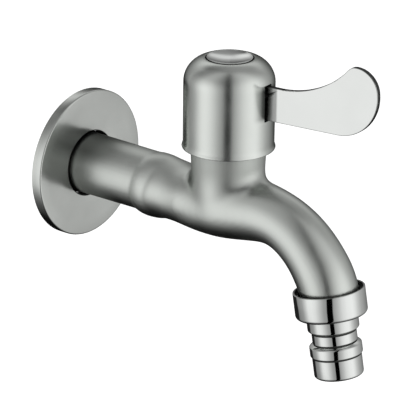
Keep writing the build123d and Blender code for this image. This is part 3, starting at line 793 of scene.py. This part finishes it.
slot_size = Vector((13.2, 4.2, 13.0)) * MM
bpy.ops.object.select_all(action="DESELECT")
bpy.ops.mesh.primitive_cube_add(size=1, location=(dome_wall_r * MM, 0, slot_middle_z))
punch = bpy.context.object
bpy.ops.object.mode_set(mode="EDIT")
bpy.ops.transform.resize(value=slot_size)
bpy.ops.object.mode_set(mode="OBJECT")
bpy.ops.object.transform_apply(location=True, rotation=True, scale=True)
bpy.ops.object.mode_set(mode="EDIT")
bpy.ops.mesh.select_mode(type="EDGE")
bpy.ops.mesh.select_all(action="DESELECT")
bpy.ops.object.mode_set(mode="OBJECT")
for edge in punch.data.edges:
    start, end = (punch.data.vertices[i].co for i in edge.vertices)
    runs_inward = abs(start.x - end.x) > 1 * MM
    edge.select = runs_inward
bpy.ops.object.mode_set(mode="EDIT")
bpy.ops.mesh.bevel(offset=0.4 * MM, segments=3)
face_outward()
set_in_place(punch, headwork_place, (0, 0, lever_turn))
punched = dome.modifiers.new("lever_slot", "BOOLEAN")
punched.operation = "DIFFERENCE"
punched.object = punch
finish_modifiers(dome)
bpy.data.objects.remove(punch)
select_only(dome)
bpy.ops.object.shade_smooth_by_angle(angle=radians(35))
dress(dome, turned_satin, "handle", "handle_dome")

# Headwork: a brass housing screwed into the neck, with a rubber ring under its hexagon and a
# rubber seal at its foot. Two ceramic discs, a plastic thrust washer and the spindle's two rubber
# rings sit inside it.
turned_brass, tree, shader, place = new_metal("turned_brass", (0.72, 0.52, 0.24), 0.28)
brass_lines = marks(tree, place, 60, detail=5, stretch=(1, 1, 0.008))
brass_cloud = marks(tree, place, 120, detail=3)
finish_shader(
    tree,
    shader,
    tinted(tree, brass_cloud, (0.64, 0.44, 0.18), (0.78, 0.58, 0.29)),
    between(tree, brass_cloud, 0.22, 0.36),
    dents(tree, brass_lines, 0.00003, 0.4),
)
dress(nodes["headwork_housing"], turned_brass)


def new_dull(name, dark, light, roughness, grain, depth):
    """A dull material that isn't a metal: rubber, plastic or ceramic."""
    material, tree, shader, place = new_metal(name, dark, roughness)
    shader.inputs["Metallic"].default_value = 0
    cloud = marks(tree, place, 150, detail=4)
    fine = marks(tree, place, grain, detail=2)
    finish_shader(
        tree,
        shader,
        tinted(tree, cloud, dark, light),
        between(tree, cloud, roughness * 0.85, roughness * 1.15),
        dents(tree, fine, depth, 0.4),
    )
    return material


black_rubber = new_dull(
    "black_rubber", (0.018, 0.018, 0.019), (0.035, 0.034, 0.033), 0.6, 1800, 0.00003
)
for ring in ("seat_seal", "housing_o_ring", "spindle_o_ring_lower", "spindle_o_ring_upper"):
    dress(nodes[ring], black_rubber)

white_ceramic = new_dull(
    "white_ceramic", (0.78, 0.77, 0.73), (0.86, 0.85, 0.82), 0.22, 3500, 0.000005
)
for disc in ("fixed_disc", "moving_disc"):
    dress(nodes[disc], white_ceramic)

slippery_plastic = new_dull(
    "slippery_plastic", (0.72, 0.72, 0.69), (0.80, 0.80, 0.77), 0.42, 2400, 0.00001
)
dress(nodes["thrust_washer"], slippery_plastic)

# Spindle: a brass stem with splines at its top. The clip that keeps it in the housing, the screw
# that holds the handle on it and the lever's pin are plain stainless steel.
dress(nodes["spindle"], turned_brass)

plain_steel, tree, shader, place = new_metal("plain_steel", (0.52, 0.525, 0.52), 0.32)
steel_cloud = marks(tree, place, 300, detail=4)
finish_shader(
    tree,
    shader,
    tinted(tree, steel_cloud, (0.46, 0.465, 0.46), (0.57, 0.575, 0.57)),
    between(tree, steel_cloud, 0.26, 0.4),
    dents(tree, marks(tree, place, 4000), 0.00001, 0.4),
)
for fastener in ("retaining_clip", "lever_pin", "handle_screw"):
    dress(nodes[fastener], plain_steel)

# Core: a zinc die casting pressed into the shell, left as cast. Its colour is partly dull old
# zinc and partly painted shade, near black, and it shows only as the dark bottom of the slot
# beside the lever, and from below inside the skirt.
zinc_and_painted_shade, tree, shader, place = new_metal("zinc_and_painted_shade", (0.10, 0.10, 0.105), 0.6)
zinc_cloud = marks(tree, place, 220, detail=4)
finish_shader(
    tree,
    shader,
    tinted(tree, zinc_cloud, (0.07, 0.07, 0.075), (0.13, 0.13, 0.135)),
    between(tree, zinc_cloud, 0.48, 0.66),
    dents(tree, marks(tree, place, 1500), 0.00004, 0.5),
)
dress(nodes["handle_core"], zinc_and_painted_shade)

# Lever: a paddle pressed from 2 mm stainless sheet and polished bright, with its edges rounded.
# The sheared edge all round is painted near black, as a painted dark reflection. Its tang goes
# through the slot into the core, where the pin holds it.
bright_steel, tree, shader, place = new_metal("bright_steel", (0.71, 0.725, 0.71), 0.05, edge=0.9)
bright_cloud = marks(tree, place, 45, detail=3)
bright_colour = tinted(tree, bright_cloud, (0.69, 0.705, 0.69), (0.73, 0.745, 0.73))
# Near the slot the lever's colour is darkened as painted shade, and its roughness rises there
# too.
reach = from_the_slot(tree, place)[0]
root_shade_and_roughness = work_out(
    tree, "MULTIPLY", fading(tree, reach, 19.3, 20.2, 0.5), fading(tree, reach, 14, 12)
)
bright_roughness = work_out(
    tree, "MULTIPLY_ADD", root_shade_and_roughness, 0.3, between(tree, bright_cloud, 0.035, 0.075)
)
polish_wave = marks(tree, place, 60, detail=1)
finish_shader(
    tree,
    shader,
    add_painted_shade(tree, bright_colour, root_shade_and_roughness),
    bright_roughness,
    dents(tree, polish_wave, 0.0001, 0.15),
)

# Painted shade: a near-black steel for the edges of the lever and the cap, a painted dark
# reflection on the lever's edge and a painted shade line round the cap.
painted_dark_edge, tree, shader, place = new_metal("painted_dark_edge", (0.09, 0.093, 0.09), 0.35)
edge_lines = marks(tree, place, 900, detail=3)
finish_shader(
    tree,
    shader,
    tinted(tree, edge_lines, (0.06, 0.062, 0.06), (0.12, 0.124, 0.12)),
    between(tree, edge_lines, 0.28, 0.42),
    dents(tree, edge_lines, 0.00001, 0.3),
)

lever = merged_copy("lever", "lever_paddle")
lever.modifiers.new("even_light", "WEIGHTED_NORMAL")
bpy.ops.object.shade_smooth_by_angle(angle=radians(32))
finish_modifiers(lever)
dress(lever, bright_steel, "handle", "lever")
lever.data.materials.append(painted_dark_edge)
across_lever = Vector((sin(lever_turn), -cos(lever_turn), 0))
for face in lever.data.polygons:
    on_the_flat = abs(face.normal.dot(across_lever)) >= 0.5
    face.material_index = int(not on_the_flat)

# Index cap: a dished stainless plug that snaps into the hole in the top of the shell and hides
# the screw. Its rim stands a hair over the shell's; its sheared edge is a painted shade line.
cap = round_piece(
    "dished_cap",
    [(0.02, 52.03), (1.5, 52.05), (3.0, 52.18), (4.5, 52.42), (5.8, 52.74), (6.9, 53.06)]
    + [(7.4, 53.3), (7.72, 53.47), (7.84, 53.58), (7.94, 53.62), (8.02, 53.56), (8.04, 53.46)]
    + [(8.04, 52.2), (8.3, 51.0), (5.5, 51.0), (5.5, 50.1), (4.6, 50.1), (4.6, 51.0)]
    + [(0.02, 51.0)],
)
set_in_place(cap, headwork_place)
bpy.ops.object.shade_smooth_by_angle(angle=radians(35))
dress(cap, bright_steel, "handle", "index_cap")
cap.data.materials.append(painted_dark_edge)
cap_edge_r = 7.95 * MM
for face in cap.data.polygons:
    from_axis = face.center - Vector(headwork_place)
    face.material_index = int(from_axis.xy.length > cap_edge_r)

# Hose nozzle: turned from stainless bar and polished; its bore and its undercuts are painted near
# black as painted shade. Its collar screws onto the spout's thread, down to a rubber washer, and
# the step, the groove and the ring under it hold the hose.
dress(nodes["nozzle_washer"], black_rubber)

# Painted shade: a near-black steel for the nozzle's bore and undercuts and the flange's hole lip,
# where shade falls.
painted_shade_inside, tree, shader, place = new_metal("painted_shade_inside", (0.07, 0.072, 0.07), 0.5)
inside_cloud = marks(tree, place, 400, detail=3)
finish_shader(
    tree,
    shader,
    tinted(tree, inside_cloud, (0.05, 0.052, 0.05), (0.095, 0.098, 0.095)),
    between(tree, inside_cloud, 0.4, 0.6),
    dents(tree, inside_cloud, 0.00002, 0.3),
)

nozzle = round_piece(
    "hose_tail",
    [(11.7, 1.2), (11.7, 0.14), (11.76, 0.04), (11.86, 0.0), (12.3, 0.0), (12.44, 0.06)]
    + [(12.5, 0.2), (12.5, 4.5)]
    + arc((11.1, 7.9), 1.4, 0, 90, 12)
    + [(9.1, 9.3), (8.85, 9.32), (8.85, 9.72), (8.95, 9.76), (8.95, 13.5)]
    + arc((8.35, 13.6), 0.6, 0, 72, 7)
    + [(7.86, 14.62), (7.7, 14.66), (7.7, 15.04), (7.8, 15.1), (7.8, 18.3), (7.66, 18.36)]
    + [(7.66, 18.8), (8.1, 18.92), (8.86, 19.5), (9.04, 19.72), (9.1, 19.98), (9.1, 22.7)]
    + arc((8.7, 22.8), 0.4, 0, 80, 5)
    + [(8.6, 23.28), (8.48, 23.32), (8.48, 23.7), (8.6, 23.76), (8.6, 27.0)]
    + arc((7.5, 29.8), 1.1, 0, 90, 9)
    + [(6.6, 30.9), (6.46, 30.86), (6.4, 30.7), (6.4, 7.8), (10.5275, 7.8), (10.5275, 1.5)]
    + [(10.8, 1.2), (11.7, 1.2)],
)
set_in_place(nozzle, nozzle_rim, nozzle_turn)
bpy.ops.object.shade_smooth_by_angle(angle=radians(32))
dress(nozzle, bright_steel, "nozzle", "hose_nozzle")
nozzle.data.materials.append(painted_shade_inside)
undercuts = ((9.31, 9.75), (14.63, 15.08), (18.32, 18.85), (23.29, 23.75))
undercut_most_r = 9 * MM
bore_faces_in = 0.3
for face in nozzle.data.polygons:
    from_rim = face.center - nozzle_rim
    depth = from_rim.dot(nozzle_down)
    outward = from_rim - nozzle_down * depth
    in_the_bore = -face.normal.dot(outward.normalized()) > bore_faces_in
    by_a_step = any(top < depth / MM < foot for top, foot in undercuts)
    in_undercut = by_a_step and outward.length < undercut_most_r
    face.material_index = int(in_the_bore or in_undercut)

# The spout's own thread, which the collar screws onto.
spout_thread_top = 1.2 * MM
screw_thread("spout_thread", 1.6, nozzle_rim + nozzle_down * spout_thread_top, nozzle_turn)

# Wall flange: a cup pressed from 1 mm stainless sheet, satin brushed, that slides on the tail
# and hides the hole in the wall. Its hole has a short inward rim round the tail.
brushed_steel, tree, shader, place = new_metal("brushed_steel", (0.64, 0.66, 0.635), 0.24)
brush_lines = marks(tree, place, 900, detail=2, stretch=(1, 1, 40))
brush_cloud = marks(tree, place, 55, detail=4)
finish_shader(
    tree,
    shader,
    tinted(tree, brush_cloud, (0.60, 0.618, 0.594), (0.68, 0.70, 0.675)),
    between(tree, brush_cloud, 0.18, 0.25),
    dents(tree, brush_lines, 0.00001, 0.25),
)
flange = round_piece(
    "flange_cup",
    [(25.8, 0.0), (26.68, 0.0), (26.8, 0.12), (26.8, 1.6)]
    + arc((26.2, 3.5), 0.6, 0, 90, 7)
    + [(22.0, 4.1), (16.0, 4.1)]
    + arc((12.25, 3.65), -0.45, -90, 0, 6)
    + [(11.8, 0.25), (12.8, 0.25), (12.8, 3.1), (25.4, 3.1), (25.7, 3.0), (25.8, 2.7)]
    + [(25.8, 0.0)],
)
set_in_place(flange, turn=(0, pi / 2, 0))
bpy.ops.object.shade_smooth_by_angle(angle=radians(32))
dress(flange, brushed_steel, "flange", "wall_flange")
# The hole's lip and its inward rim are painted near black as painted shade.
flange.data.materials.append(painted_shade_inside)
shaded_lip_r = 12.26 * MM
for face in flange.data.polygons:
    face.material_index = int(from_tail_axis(face.center) < shaded_lip_r)
